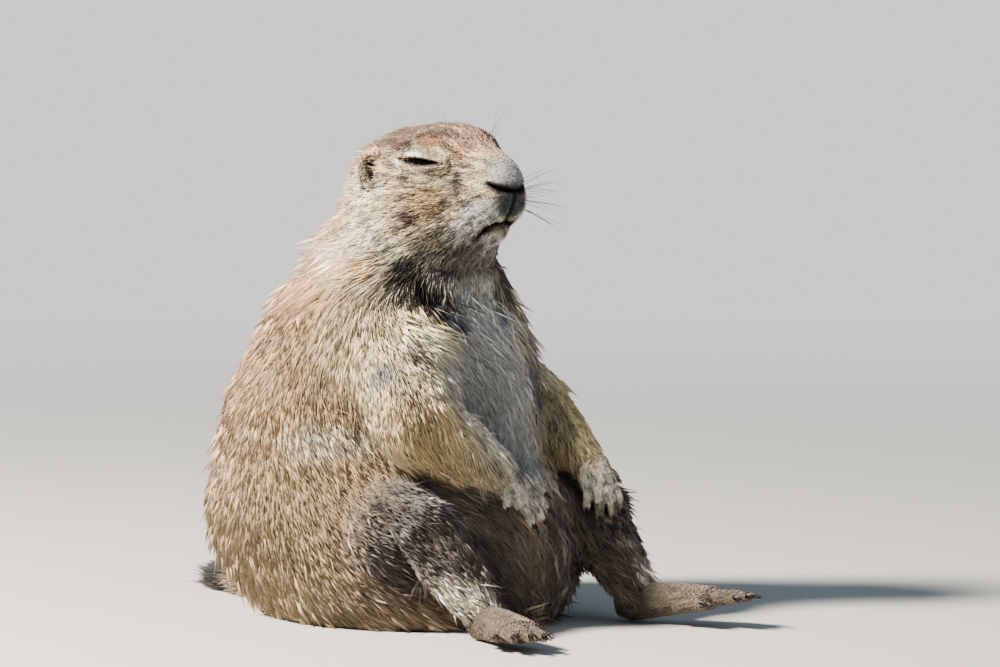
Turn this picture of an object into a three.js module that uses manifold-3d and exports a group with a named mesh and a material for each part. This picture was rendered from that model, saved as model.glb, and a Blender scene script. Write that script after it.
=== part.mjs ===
// A black-tailed prairie dog sitting up on its rump with its hind legs stretched forward and its hands
// on its belly, at life size, in millimetres.
// The animal faces -Y, its left side is +X and +Z is up. It sits on the plane Z = 0, with the origin
// in the middle of the flat under its rump. The surface is the outline of the coat, out to the hair tips.

import * as THREE from 'three';
import { mergeVertices } from 'three/addons/utils/BufferGeometryUtils.js';
import Module from 'manifold-3d';

const wasm = await Module();
wasm.setup();

// Driving dimensions

const SEAM = 0.3;
const FLOOR_DIP = 0.6;
const EYE_RADIUS = 6.8;
const LID_THICKNESS = 1.3;
const MOUTH_GROOVE = 1.1;
const PHILTRUM_GROOVE = 0.75;
const HEAD_CELL = 3.9;
const BODY_CELL = 11.0;
const BODY_BLEND = 8;
const HEAD_BLEND = 2.4;
const NECK_BLEND = 4;

// Materials

const COLOURS = {
  tawny: 0xb08a62,
  buff: 0xc7b08a,
  grey: 0x8f8574,
  black: 0x1c1815,
  claw: 0x2c2622,
  eye: 0x0b0806,
};

function finish(colour, roughness) {
  return new THREE.MeshStandardMaterial({ color: COLOURS[colour], roughness, metalness: 0 });
}

const COAT = finish('tawny', 0.9);
const PALE_COAT = finish('buff', 0.9);
const TAIL_COAT = finish('black', 0.9);
const BARE_SKIN = finish('grey', 0.6);
const HORN = finish('claw', 0.35);
const WET = finish('eye', 0.08);

// A point by how far it is to the left of the middle plane, how far forward and how high.

function at(left, forward, up) {
  return new THREE.Vector3(left, -forward, up);
}

// Fields: each is a function of a point, below zero inside.

function lobe(centre, radii, pitch = 0, yaw = 0) {
  const turn = new THREE.Matrix4().makeRotationFromEuler(new THREE.Euler(pitch, 0, yaw, 'ZYX'));
  const back = new THREE.Matrix3().setFromMatrix4(turn).transpose();
  const local = new THREE.Vector3();
  const [a, b, c] = radii;
  return (point) => {
    local.subVectors(point, centre).applyMatrix3(back);
    const near = Math.hypot(local.x / a, local.y / b, local.z / c);
    const slope = Math.hypot(local.x / a ** 2, local.y / b ** 2, local.z / c ** 2);
    return slope > 0 ? (near * (near - 1)) / slope : -Math.min(a, b, c);
  };
}

function pair(left, forward, up, radii, pitch = 0, yaw = 0) {
  return [1, -1].map((side) => lobe(at(side * left, forward, up), radii, pitch, side * yaw));
}

function blend(parts, softness) {
  return (point) => {
    let sum = 0;
    for (const part of parts) {
      sum += Math.exp(-part(point) / softness);
    }
    return -softness * Math.log(sum);
  };
}

const trunkField = blend([
  lobe(at(0, 10, 34), [60, 62, 42]),
  lobe(at(0, 15, 14), [52, 55, 22]),
  lobe(at(0, -20, 42), [64, 56, 46]),
  lobe(at(0, -9, 76), [62, 60, 46]),
  lobe(at(0, -5, 106), [48, 46, 36]),
  lobe(at(0, -2, 134), [36, 37, 28]),
  lobe(at(0, -3, 152), [23, 21, 18]),
  ...pair(22, 6, 108, [22, 22, 24]),
], BODY_BLEND);

const headField = blend([
  lobe(at(0, 11, 172), [24, 27, 23]),
  lobe(at(0, 28, 180), [18, 20, 17]),
  ...pair(12, 29, 186, [7, 11, 8]),
  ...pair(13, 15, 161, [14, 20, 16]),
  lobe(at(0, 42, 177), [12.5, 19, 12]),
  ...pair(6, 49, 167, [8, 11.5, 9]),
  lobe(at(0, 56, 174), [7, 7, 7]),
  lobe(at(0, 42, 156), [8, 14, 7]),
  lobe(at(0, 24, 151), [20, 22, 13]),
], HEAD_BLEND);

const animalField = blend([trunkField, headField], NECK_BLEND);

// Surface nets: one vertex in every cell that the surface crosses, and one quad round every crossed edge.

const CORNERS = [0, 1, 2, 3, 4, 5, 6, 7].map((n) => [n & 1, (n >> 1) & 1, n >> 2]);
const EDGES = CORNERS.flatMap((_, n) => [1, 2, 4].filter((bit) => !(n & bit)).map((bit) => [n, n | bit]));

function polygonise(field, low, high, cell) {
  const count = [0, 1, 2].map((i) => Math.ceil((high.getComponent(i) - low.getComponent(i)) / cell) + 1);
  const step = [1, count[0], count[0] * count[1]];
  const values = new Float64Array(count[0] * count[1] * count[2]);
  const point = new THREE.Vector3();
  const index = (i, j, k) => i + j * step[1] + k * step[2];
  for (let k = 0; k < count[2]; k += 1)
    for (let j = 0; j < count[1]; j += 1)
      for (let i = 0; i < count[0]; i += 1) {
        point.set(i, j, k).multiplyScalar(cell).add(low);
        values[index(i, j, k)] = field(point);
      }

  const vertexOf = new Map();
  const positions = [];
  for (let k = 0; k < count[2] - 1; k += 1)
    for (let j = 0; j < count[1] - 1; j += 1)
      for (let i = 0; i < count[0] - 1; i += 1) {
        const here = index(i, j, k);
        const corner = CORNERS.map(([x, y, z]) => values[here + index(x, y, z)]);
        if (corner.every((v) => v < 0) || corner.every((v) => v >= 0)) continue;
        const middle = new THREE.Vector3();
        let crossings = 0;
        for (const [a, b] of EDGES) {
          if (corner[a] < 0 === corner[b] < 0) continue;
          const share = corner[a] / (corner[a] - corner[b]);
          middle.add(new THREE.Vector3(...CORNERS[a]).lerp(new THREE.Vector3(...CORNERS[b]), share));
          crossings += 1;
        }
        middle.divideScalar(crossings).add(new THREE.Vector3(i, j, k)).multiplyScalar(cell).add(low);
        vertexOf.set(here, positions.length / 3);
        positions.push(...settle(field, middle).toArray());
      }

  const triangles = [];
  for (let k = 1; k < count[2] - 1; k += 1)
    for (let j = 1; j < count[1] - 1; j += 1)
      for (let i = 1; i < count[0] - 1; i += 1)
        for (let axis = 0; axis < 3; axis += 1) {
          const here = index(i, j, k);
          const next = here + step[axis];
          if (values[here] < 0 === values[next] < 0) continue;
          const [u, v] = [step[(axis + 1) % 3], step[(axis + 2) % 3]];
          const quad = [here, here - u, here - u - v, here - v].map((cube) => vertexOf.get(cube));
          if (values[here] < 0) quad.reverse();
          const [a, b, c, d] = quad.reverse();
          triangles.push(a, b, c, a, c, d);
        }
  return indexed(positions, triangles);
}

// Moves a point onto the surface of a field along the field's slope.

const SETTLE_ROUNDS = 3;
const SETTLE_REACH = 0.05;

function settle(field, point) {
  for (let round = 0; round < SETTLE_ROUNDS; round += 1) {
    const value = field(point);
    const slope = new THREE.Vector3(...['x', 'y', 'z'].map((axis) => {
      const ahead = point.clone();
      ahead[axis] += SETTLE_REACH;
      return (field(ahead) - value) / SETTLE_REACH;
    }));
    point.addScaledVector(slope, -value / Math.max(slope.lengthSq(), 0.25));
  }
  return point;
}

function indexed(positions, triangles) {
  const geometry = new THREE.BufferGeometry();
  geometry.setAttribute('position', new THREE.Float32BufferAttribute(positions, 3));
  geometry.setIndex(triangles);
  return geometry;
}

// A tapered solid along a smooth curve. Each station is a point with the half width and half height of
// the section there. The angles of an end are the rings that round it off.

const ROUND_END = [70, 38];
const SMALL_END = [50];
const BARE_END = [];

function sweep(stations, up, { sides = 10, rings = 8, grow = 0, end = ROUND_END } = {}) {
  const curve = new THREE.CatmullRomCurve3(stations.map(([point]) => point), false, 'centripetal');
  const sizeCurve = new THREE.CatmullRomCurve3(
    stations.map(([, width, height]) => new THREE.Vector3(width + grow, height + grow, 0)),
    false,
    'centripetal',
  );
  const positions = [];
  const addRing = (t, scale, push) => {
    const centre = curve.getPoint(t);
    const along = curve.getTangent(t);
    const size = sizeCurve.getPoint(t);
    const across = new THREE.Vector3().crossVectors(up, along).normalize();
    const rise = new THREE.Vector3().crossVectors(along, across);
    centre.addScaledVector(along, push * Math.min(size.x, size.y));
    for (let n = 0; n < sides; n += 1) {
      const angle = (2 * Math.PI * (n + 0.5)) / sides;
      const spot = centre.clone()
        .addScaledVector(across, Math.cos(angle) * size.x * scale)
        .addScaledVector(rise, Math.sin(angle) * size.y * scale);
      positions.push(...spot.toArray());
    }
  };
  const cap = end.map((degrees) => THREE.MathUtils.degToRad(degrees));
  for (const angle of cap) {
    addRing(0, Math.cos(angle), -Math.sin(angle));
  }
  for (let n = 0; n <= rings; n += 1) {
    addRing(n / rings, 1, 0);
  }
  for (const angle of cap.toReversed()) {
    addRing(1, Math.cos(angle), Math.sin(angle));
  }
  const ringCount = rings + 1 + 2 * cap.length;
  const poles = [[0, -1], [1, 1]].map(([t, sign]) => {
    const size = sizeCurve.getPoint(t);
    const pole = curve.getPoint(t).addScaledVector(curve.getTangent(t), sign * Math.min(size.x, size.y));
    positions.push(...pole.toArray());
    return positions.length / 3 - 1;
  });
  const triangles = [];
  for (let n = 0; n < sides; n += 1) {
    const m = (n + 1) % sides;
    const last = (ringCount - 1) * sides;
    triangles.push(poles[0], m, n, poles[1], last + n, last + m);
    for (let ring = 0; ring < ringCount - 1; ring += 1) {
      const [low, high] = [ring * sides, (ring + 1) * sides];
      triangles.push(low + n, low + m, high + m, low + n, high + m, high + n);
    }
  }
  return indexed(positions, triangles);
}

// Joining and cutting

function solid(geometry) {
  const bare = geometry.clone();
  bare.deleteAttribute('normal');
  bare.deleteAttribute('uv');
  const merged = mergeVertices(bare, 1e-4);
  return new wasm.Manifold(new wasm.Mesh({
    numProp: 3,
    vertProperties: new Float32Array(merged.attributes.position.array),
    triVerts: new Uint32Array(merged.index.array),
  }));
}

function geometryOf(body) {
  const mesh = body.getMesh();
  return indexed(Array.from(mesh.vertProperties), Array.from(mesh.triVerts));
}

function largest(body) {
  return body.decompose().reduce((best, piece) => (piece.volume() > best.volume() ? piece : best));
}

const CUTTER = 600;

function beyond(point, normal, gap = 0) {
  const block = new THREE.BoxGeometry(CUTTER, CUTTER, CUTTER);
  block.translate(0, 0, CUTTER / 2 + gap);
  block.applyQuaternion(new THREE.Quaternion().setFromUnitVectors(
    new THREE.Vector3(0, 0, 1), normal.clone().normalize()));
  block.translate(point.x, point.y, point.z);
  return solid(block);
}

const FLOOR = beyond(at(0, 0, 0), new THREE.Vector3(0, 0, -1));

const model = new THREE.Group();

function addPart(name, body, material) {
  const mesh = new THREE.Mesh(geometryOf(largest(body.subtract(FLOOR))), material);
  mesh.name = name;
  model.add(mesh);
}

function ball(centre, radii, axes, { sides = 14, rings = 9, grow = 0 } = {}) {
  const geometry = new THREE.SphereGeometry(1, sides, rings);
  geometry.scale(...radii.map((radius) => radius + grow));
  geometry.applyMatrix4(new THREE.Matrix4().makeBasis(...axes).setPosition(centre));
  return solid(geometry);
}

const SIDES = { right: -1, left: 1 };
const SIDE_NAMES = Object.keys(SIDES);
const UP = new THREE.Vector3(0, 0, 1);
const FORWARD = at(0, 1, 0);
const ACROSS = at(1, 0, 0);
const WORLD_AXES = [ACROSS, FORWARD.clone().negate(), UP];

// Limbs, from named joints

const ARMS = {
  right: { shoulder: at(-26, 20, 113), elbow: at(-42, 50, 83), wrist: at(-17, 73, 61.5), girth: 1.12,
    reach: at(22, 11, -21), back: at(-0.3, 0.85, 0.45), curl: 1 },
  left: { shoulder: at(24, 8, 110), elbow: at(43, 29, 86), wrist: at(42.5, 65, 61.5), girth: 0.94,
    reach: at(-5, 13, -17), back: at(-0.4, 0.75, 0.55), curl: 1.5 },
};

function upperArmShape({ shoulder, elbow, girth }, grow = 0) {
  const middle = shoulder.clone().lerp(elbow, 0.5);
  const stations = [[shoulder, 18], [middle, 17], [elbow, 15.5]]
    .map(([point, radius]) => [point, radius * girth, radius * girth]);
  return solid(sweep(stations, FORWARD, { sides: 12, rings: 4, grow }));
}

function forearmShape({ elbow, wrist, girth }, grow = 0) {
  const middle = elbow.clone().lerp(wrist, 0.5);
  const stations = [[elbow, 15.2], [middle, 11.8], [wrist, 6.4]]
    .map(([point, radius]) => [point, radius * girth, radius * girth]);
  return solid(sweep(stations, FORWARD, { sides: 12, rings: 5, grow }));
}

const LEGS = {
  right: { hip: at(-32, 8, 35), knee: at(-46, 56, 42), ankle: at(-43, 86, 11), splay: -24, toesUp: 5 },
  left: { hip: at(32, 8, 35), knee: at(46, 59, 43), ankle: at(45, 87, 11), splay: 9, toesUp: 11 },
};

function thighShape({ hip, knee }, grow = 0) {
  const middle = hip.clone().lerp(knee, 0.5);
  return solid(sweep([
    [hip, 28, 33], [middle, 23, 29], [knee, 14, 14.5],
  ], UP, { sides: 14, rings: 6, grow }));
}

function shinShape({ knee, ankle }, grow = 0) {
  const middle = knee.clone().lerp(ankle, 0.5);
  return solid(sweep([
    [knee, 14, 14], [middle, 12, 12], [ankle, 8, 8],
  ], FORWARD, { sides: 12, rings: 5, grow, end: SMALL_END }));
}

function legShape(leg, grow) {
  return thighShape(leg, grow).add(shinShape(leg, grow));
}

// Where a limb bends, its two lengths meet on the plane that halves the bend.

function bendPlane(before, joint, after) {
  const normal = joint.clone().sub(before).normalize().add(after.clone().sub(joint).normalize());
  return [joint, normal];
}

// The tail lies on the floor, with a brush of flat locks round its black tip

const TAIL = [
  [at(0, -52, 11), 10, 9],
  [at(3, -72, 7.5), 9.5, 8],
  [at(7, -92, 6), 9, 6.6],
  [at(13, -108, 5.2), 6, 5],
  [at(20, -122, 4.4), 4, 3.6],
];
const TAIL_SEAM = { point: at(8, -95, 6), normal: at(0.3, -1, 0) };

function tailShape(grow = 0) {
  return solid(sweep(TAIL, UP, { sides: 10, rings: 8, grow, end: SMALL_END }));
}

// Locks grow in tiers between two shares of the tail's length, and each tier fans out sideways.

const LOCKS = { tiers: 3, across: 4, from: 0.76, to: 0.97, spacing: 1.3, fan: 14, lift: 0.8, droop: 2.2 };
const LOCK = { length: 22, width: 4.6, thickness: 1.5, tip: 0.5 };

function lockShape(root, aim, length) {
  const middle = root.clone().addScaledVector(aim, length * 0.5);
  const tip = root.clone().addScaledVector(aim, length);
  tip.z -= LOCKS.droop;
  return solid(sweep([
    [root, LOCK.width * 0.6, LOCK.thickness],
    [middle, LOCK.width, LOCK.thickness],
    [tip, LOCK.tip, LOCK.tip],
  ], UP, { sides: 4, rings: 3, end: BARE_END }));
}

function tailBrush() {
  const curve = new THREE.CatmullRomCurve3(TAIL.map(([point]) => point), false, 'centripetal');
  let brush = tailShape().intersect(beyond(TAIL_SEAM.point, TAIL_SEAM.normal, SEAM));
  for (let tier = 0; tier < LOCKS.tiers; tier += 1) {
    const share = THREE.MathUtils.lerp(LOCKS.from, LOCKS.to, tier / (LOCKS.tiers - 1));
    const along = curve.getTangent(share);
    const sideways = new THREE.Vector3().crossVectors(UP, along).normalize();
    for (let n = 0; n < LOCKS.across; n += 1) {
      const offset = n - (LOCKS.across - 1) / 2;
      const turn = THREE.MathUtils.degToRad(offset * LOCKS.fan);
      const aim = along.clone().multiplyScalar(Math.cos(turn)).addScaledVector(sideways, Math.sin(turn));
      const root = curve.getPoint(share).addScaledVector(sideways, offset * LOCKS.spacing);
      root.z += tier % 2 === 0 ? LOCKS.lift : 0;
      brush = brush.add(lockShape(root, aim, LOCK.length * (1 - 0.06 * Math.abs(offset))));
    }
  }
  return brush;
}

// Paws, in a frame with X towards the tips, Y towards the thumb or big toe and Z out of the back of the paw

function pawFrame(origin, reach, back, side) {
  const x = reach.clone().normalize();
  const y = new THREE.Vector3().crossVectors(back, x).normalize().multiplyScalar(side);
  const z = new THREE.Vector3().crossVectors(x, y).multiplyScalar(side);
  return new THREE.Matrix4().makeBasis(x, y, z).setPosition(origin);
}

const local = (x, y, z) => new THREE.Vector3(x, y, z);

function placed(points, frame) {
  return points.map(([point, ...sizes]) => [point.clone().applyMatrix4(frame), ...sizes]);
}

const HAND = {
  core: [
    [local(-6, 0, 0), 6.6, 6],
    [local(3, 0, 0.3), 7.2, 5],
    [local(9, 0, 0), 8.2, 4.4],
    [local(12.5, 0, -0.4), 7.4, 3.4],
  ],
  digits: [
    { base: local(4, 6.5, -1), turn: 38, length: 4.5, radius: 1.9, drop: 0.6, claw: 1.6 },
    { base: local(11, 5.3, -0.3), turn: 11, length: 9.5, radius: 2.2, drop: 1.8, claw: 5.5 },
    { base: local(12, 1.9, 0), turn: 3.5, length: 11.5, radius: 2.3, drop: 2, claw: 6 },
    { base: local(11.6, -1.9, 0), turn: -4.5, length: 11, radius: 2.3, drop: 2, claw: 6 },
    { base: local(10, -5.3, -0.4), turn: -13, length: 8.5, radius: 2.1, drop: 1.6, claw: 5 },
  ],
};

const FOOT = {
  core: [
    [local(4, 0, 7.5), 6.5, 7.6],
    [local(15, 0, 7), 7.2, 7.2],
    [local(31, 0, 5.6), 9.4, 6],
    [local(42, 0, 4.4), 10.2, 4.8],
  ],
  digits: [
    { base: local(33, 8, 3), turn: 13, length: 9.5, radius: 2.7, drop: 0.6, claw: 5 },
    { base: local(42, 6.2, 3.2), turn: 7, length: 12, radius: 2.8, drop: 0.8, claw: 6 },
    { base: local(44, 1.6, 3.3), turn: 1, length: 13, radius: 2.9, drop: 0.8, claw: 6.5 },
    { base: local(43, -3.2, 3.2), turn: -5, length: 12.5, radius: 2.8, drop: 0.8, claw: 6 },
    { base: local(34, -7.8, 3), turn: -13, length: 10, radius: 2.7, drop: 0.6, claw: 5.5 },
  ],
};

const HEEL_LENGTH = 6;
const DIGIT_NAMES = ['first', 'second', 'third', 'fourth', 'fifth'];

function alongDigit({ base, turn }, distance, lift) {
  const aim = THREE.MathUtils.degToRad(turn);
  return base.clone().add(local(Math.cos(aim) * distance, Math.sin(aim) * distance, lift));
}

function digitShape(digit, frame, backOf, grow) {
  const { length, radius, drop } = digit;
  const stations = [
    [alongDigit(digit, -length * 0.35, 0), radius, radius],
    [alongDigit(digit, length * 0.35, drop * 0.25 + radius * 0.3), radius, radius],
    [alongDigit(digit, length * 0.75, -drop * 0.3), radius * 0.92, radius * 0.92],
    [alongDigit(digit, length, -drop), radius * 0.75, radius * 0.75],
  ];
  return solid(sweep(placed(stations, frame), backOf, { sides: 6, rings: 4, grow, end: SMALL_END }));
}

function clawShape(digit, frame, backOf, grow = 0) {
  const { length, radius, drop, claw } = digit;
  const start = length + radius * 0.35;
  const stations = [
    [alongDigit(digit, start, -drop + radius * 0.2), radius * 0.5, radius * 0.55],
    [alongDigit(digit, start + claw * 0.5, -drop + claw * 0.02), radius * 0.38, radius * 0.42],
    [alongDigit(digit, start + claw, -drop - claw * 0.22), 0.2, 0.2],
  ];
  return solid(sweep(placed(stations, frame), backOf, { sides: 5, rings: 2, grow, end: BARE_END }));
}

function pawShape({ core, digits }, frame, backOf, grow = 0) {
  let paw = solid(sweep(placed(core, frame), backOf, { sides: 10, rings: 4, grow, end: SMALL_END }));
  for (const digit of digits) {
    paw = paw.add(digitShape(digit, frame, backOf, grow));
  }
  return paw;
}

// A paw and its claws. The stump cuts the paw off where the limb begins, and all of it clears the leg.

function addPaw(name, table, frame, { curl, stump, leg }) {
  const backOf = new THREE.Vector3().setFromMatrixColumn(frame, 2);
  const clear = legShape(leg, SEAM);
  const digits = table.digits.map((digit) => ({ ...digit, drop: digit.drop * curl }));
  let paw = pawShape({ ...table, digits }, frame, backOf).subtract(clear).subtract(stump);
  digits.forEach((digit, n) => {
    paw = paw.subtract(clawShape(digit, frame, backOf, SEAM));
    addPart(`${name}_${DIGIT_NAMES[n]}_claw`, clawShape(digit, frame, backOf).subtract(clear), HORN);
  });
  addPart(name, paw, PALE_COAT);
}

// Eyes, each nearly closed behind thick lids

const EYE = { left: 13, forward: 30, up: 183.6, slitTilt: 9, slit: [8.6, 6.4, 1.45] };

function eyeCentre(side) {
  return at(side * EYE.left, EYE.forward, EYE.up);
}

function lidSlit(side) {
  const tilt = THREE.MathUtils.degToRad(EYE.slitTilt);
  const along = at(0, Math.cos(tilt), -Math.sin(tilt));
  const outward = ACROSS.clone().multiplyScalar(side);
  const over = new THREE.Vector3().crossVectors(along, outward);
  const centre = eyeCentre(side).addScaledVector(outward, EYE_RADIUS);
  return ball(centre, EYE.slit, [along, outward, over]);
}

// Ears, low round cups that open outwards and forwards

const EAR = { left: 21.5, forward: 5.2, up: 177.5, radii: [4.8, 4.6, 6.9], hollow: [3.3, 3.4, 5.1] };

function earAxes(side) {
  const outward = at(side * 0.86, 0.42, 0.28).normalize();
  const across = new THREE.Vector3().crossVectors(UP, outward).normalize();
  return [across, outward, new THREE.Vector3().crossVectors(across, outward)];
}

function earShape(side, grow = 0) {
  return ball(at(side * EAR.left, EAR.forward, EAR.up), EAR.radii, earAxes(side), { grow });
}

function earCup(side) {
  const [across, outward, over] = earAxes(side);
  const middle = at(side * EAR.left, EAR.forward, EAR.up).addScaledVector(outward, EAR.radii[1] * 0.75);
  const hollow = ball(middle, EAR.hollow, [across, outward, over], { sides: 10, rings: 6 });
  return earShape(side).subtract(hollow);
}

// Nose, mouth and lips

const NOSE = { centre: at(0, 57.5, 174.5), radii: [6.6, 6.4, 6], back: 54.5 };

function noseShape(grow = 0) {
  const plane = beyond(at(0, NOSE.back, 0), FORWARD, -grow);
  return ball(NOSE.centre, NOSE.radii, WORLD_AXES, { grow, sides: 14, rings: 10 }).intersect(plane);
}

function nostril(side) {
  const inner = at(side * 1.9, 63.4, 173.2);
  const outer = at(side * 5.2, 61.2, 175.2);
  const middle = inner.clone().lerp(outer, 0.5).add(at(0, 0.2, 0.8));
  return solid(sweep([[inner, 1, 0.8], [middle, 1.3, 1.1], [outer, 0.8, 0.7]], FORWARD,
    { sides: 6, rings: 3, end: SMALL_END }));
}

function groove(guesses, radius) {
  const stations = guesses.map((guess) => [settle(animalField, guess), radius, radius]);
  return solid(sweep(stations, UP, { sides: 6, rings: 12, end: SMALL_END }));
}

const MOUTH_HALF = [[3.6, 59.5, 159.8], [8, 54.5, 156.5], [11, 47, 153.2]];
const MOUTH = [
  ...MOUTH_HALF.toReversed().map(([left, ...rest]) => [-left, ...rest]), [0, 61.5, 160.4], ...MOUTH_HALF,
].map((place) => at(...place));
const PHILTRUM = [[0.2, 66, 168.6], [0.1, 65, 165], [0, 62, 161]].map((place) => at(...place));

// Trunk and head, made whole and parted at the neck

const HEAD_GRID_FLOOR = 128;
const headRegion = (point) => Math.max(animalField(point), HEAD_GRID_FLOOR - point.z);
const body = solid(polygonise(
  animalField, new THREE.Vector3(-90, -100, -36), new THREE.Vector3(90, 100, 216), BODY_CELL));
let head = solid(polygonise(
  headRegion, new THREE.Vector3(-60, -90, 116), new THREE.Vector3(60, 60, 212), HEAD_CELL));

const HEAD_SEAM = { point: at(0, 10, 153), normal: at(0, 0.35, 1) };
const NECK_SEAM = { point: at(0, 4, 138), normal: at(0, 0.15, 1) };

let trunk = body.subtract(tailShape(SEAM));
for (const side of SIDE_NAMES) {
  const sign = SIDES[side];
  const arm = ARMS[side];
  const leg = LEGS[side];

  const elbowPlane = bendPlane(arm.shoulder, arm.elbow, arm.wrist);
  const wristLine = arm.wrist.clone().sub(arm.elbow);
  addPart(`${side}_upper_arm`, upperArmShape(arm)
    .subtract(beyond(...elbowPlane))
    .subtract(thighShape(leg, SEAM)), COAT);
  addPart(`${side}_forearm`, forearmShape(arm)
    .intersect(beyond(...elbowPlane, SEAM))
    .subtract(thighShape(leg, SEAM))
    .subtract(beyond(arm.wrist, wristLine)), COAT);
  const handFrame = pawFrame(arm.wrist, arm.reach, arm.back, sign);
  const forearmSide = beyond(arm.wrist, wristLine.negate(), -SEAM);
  addPaw(`${side}_hand`, HAND, handFrame, { curl: arm.curl, stump: forearmSide, leg });

  const kneePlane = bendPlane(leg.hip, leg.knee, leg.ankle);
  addPart(`${side}_thigh`, thighShape(leg).subtract(beyond(...kneePlane)), COAT);
  addPart(`${side}_shin`, shinShape(leg).intersect(beyond(...kneePlane, SEAM)), COAT);
  const splay = THREE.MathUtils.degToRad(leg.splay);
  const level = at(Math.sin(splay), Math.cos(splay), 0);
  const reach = level.clone().setZ(Math.tan(THREE.MathUtils.degToRad(leg.toesUp)));
  const heel = leg.ankle.clone().addScaledVector(level, -HEEL_LENGTH).setZ(-FLOOR_DIP);
  const footFrame = pawFrame(heel, reach, UP, sign);
  addPaw(`${side}_foot`, FOOT, footFrame, { curl: 1, stump: shinShape(leg, SEAM), leg });

  trunk = trunk
    .subtract(upperArmShape(arm, SEAM))
    .subtract(forearmShape(arm, SEAM))
    .subtract(legShape(leg, SEAM));

  const eye = ball(eyeCentre(sign), [EYE_RADIUS, EYE_RADIUS, EYE_RADIUS], WORLD_AXES);
  const lids = EYE_RADIUS + LID_THICKNESS;
  head = head
    .add(ball(eyeCentre(sign), [lids, lids, lids], WORLD_AXES, { sides: 20, rings: 14 }))
    .subtract(ball(eyeCentre(sign), [EYE_RADIUS, EYE_RADIUS, EYE_RADIUS], WORLD_AXES, { grow: SEAM }))
    .subtract(lidSlit(sign))
    .subtract(earShape(sign, SEAM));
  addPart(`${side}_eye`, eye, WET);
  addPart(`${side}_ear`, earCup(sign), PALE_COAT);
}

head = head
  .subtract(noseShape(SEAM))
  .subtract(groove(MOUTH, MOUTH_GROOVE))
  .subtract(groove(PHILTRUM, PHILTRUM_GROOVE));
addPart('nose', noseShape().subtract(nostril(-1)).subtract(nostril(1)), BARE_SKIN);
addPart('head', head.intersect(beyond(HEAD_SEAM.point, HEAD_SEAM.normal, SEAM)), COAT);
addPart('neck', trunk.subtract(beyond(HEAD_SEAM.point, HEAD_SEAM.normal))
  .intersect(beyond(NECK_SEAM.point, NECK_SEAM.normal, SEAM)), COAT);
addPart('torso', trunk.subtract(beyond(NECK_SEAM.point, NECK_SEAM.normal)), COAT);
addPart('tail', tailShape().subtract(beyond(TAIL_SEAM.point, TAIL_SEAM.normal)), COAT);
addPart('tail_tip', tailBrush(), TAIL_COAT);

export default model;
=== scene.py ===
"""A black-tailed prairie dog at rest on its rump: one skin under a coat of hair tufts, with eyes, claws and
whiskers of their own. The animal faces -Y, its left side is +X and it sits on Z = 0, in metres."""

import math

import bmesh
import bpy
import numpy as np
from mathutils import Matrix, Vector, kdtree
from mathutils.bvhtree import BVHTree


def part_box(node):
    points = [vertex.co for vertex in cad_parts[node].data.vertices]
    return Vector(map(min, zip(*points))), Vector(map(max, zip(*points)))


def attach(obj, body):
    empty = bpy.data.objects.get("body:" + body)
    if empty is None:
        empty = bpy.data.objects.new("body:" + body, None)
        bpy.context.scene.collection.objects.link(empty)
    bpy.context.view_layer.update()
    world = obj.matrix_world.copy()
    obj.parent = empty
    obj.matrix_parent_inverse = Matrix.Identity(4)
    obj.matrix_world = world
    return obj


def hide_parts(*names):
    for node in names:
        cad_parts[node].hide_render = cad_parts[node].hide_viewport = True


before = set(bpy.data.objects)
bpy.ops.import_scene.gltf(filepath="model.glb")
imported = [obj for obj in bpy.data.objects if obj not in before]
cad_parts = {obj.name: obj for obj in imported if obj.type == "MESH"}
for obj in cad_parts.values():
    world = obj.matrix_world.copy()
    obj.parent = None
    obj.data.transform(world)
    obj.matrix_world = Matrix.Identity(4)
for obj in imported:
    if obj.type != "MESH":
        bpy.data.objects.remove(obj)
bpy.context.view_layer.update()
MM = 0.001
SIDES = {"right": -1, "left": 1}
RNG = np.random.default_rng(11)


def at(left, forward, up):
    """A point by its millimetres to the animal's left, forward and up."""
    return np.array([left, -forward, up]) * MM


# Small helpers on arrays of points

def unit(vectors):
    return vectors / np.maximum(np.linalg.norm(vectors, axis=-1, keepdims=True), 1e-12)


def ease(low, high, values):
    """0 at low and 1 at high, smooth between them."""
    share = np.clip((values - low) / (high - low), 0, 1)
    return share * share * (3 - 2 * share)


def mix(a, b, share):
    share = np.asarray(share)[..., None]
    return a * (1 - share) + b * share


def cloud(points, size, seed):
    """Smooth noise from -1 to 1 with blots of about the given size."""
    lattice = np.random.default_rng(seed).uniform(-1, 1, (32, 32, 32))
    spots = points / size
    low = np.floor(spots).astype(int)
    share = spots - low
    share = share * share * (3 - 2 * share)
    total = np.zeros(len(points))
    for corner in range(8):
        step = np.array([corner & 1, corner >> 1 & 1, corner >> 2])
        weight = np.prod(np.where(step, share, 1 - share), axis=1)
        cell = (low + step) % 32
        total += weight * lattice[cell[:, 0], cell[:, 1], cell[:, 2]]
    return total


def linear(colour):
    """Linear light from display values of 0 to 255."""
    share = np.asarray(colour, float) / 255
    return np.where(share <= 0.04045, share / 12.92, ((share + 0.055) / 1.055) ** 2.4)


# The skin, from the flesh nodes of the solids

FLESH = sorted(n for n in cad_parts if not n.endswith(("claw", "eye", "tail_tip")))
LIMBS = {"hand": "forearm", "foot": "shin"}
PAWS = {f"{side}_{paw}": f"{side}_{limb}" for side in SIDES for paw, limb in LIMBS.items()}
# The flesh of the tail's tip: centres and radii in millimetres
TAIL_CORE = [
    (at(7, -92, 6.2), 6.6), (at(13, -108, 5.4), 4.2), (at(19, -120, 4.4), 2.6), (at(23, -127, 3.6), 1.4),
]
VOXEL = 1.3 * MM
PAW_VOXEL = 0.45 * MM
SWELL = 0.25 * MM
SOCKET_FILL = 1.0 * MM
PAW_CORE = 1.3 * MM
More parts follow.
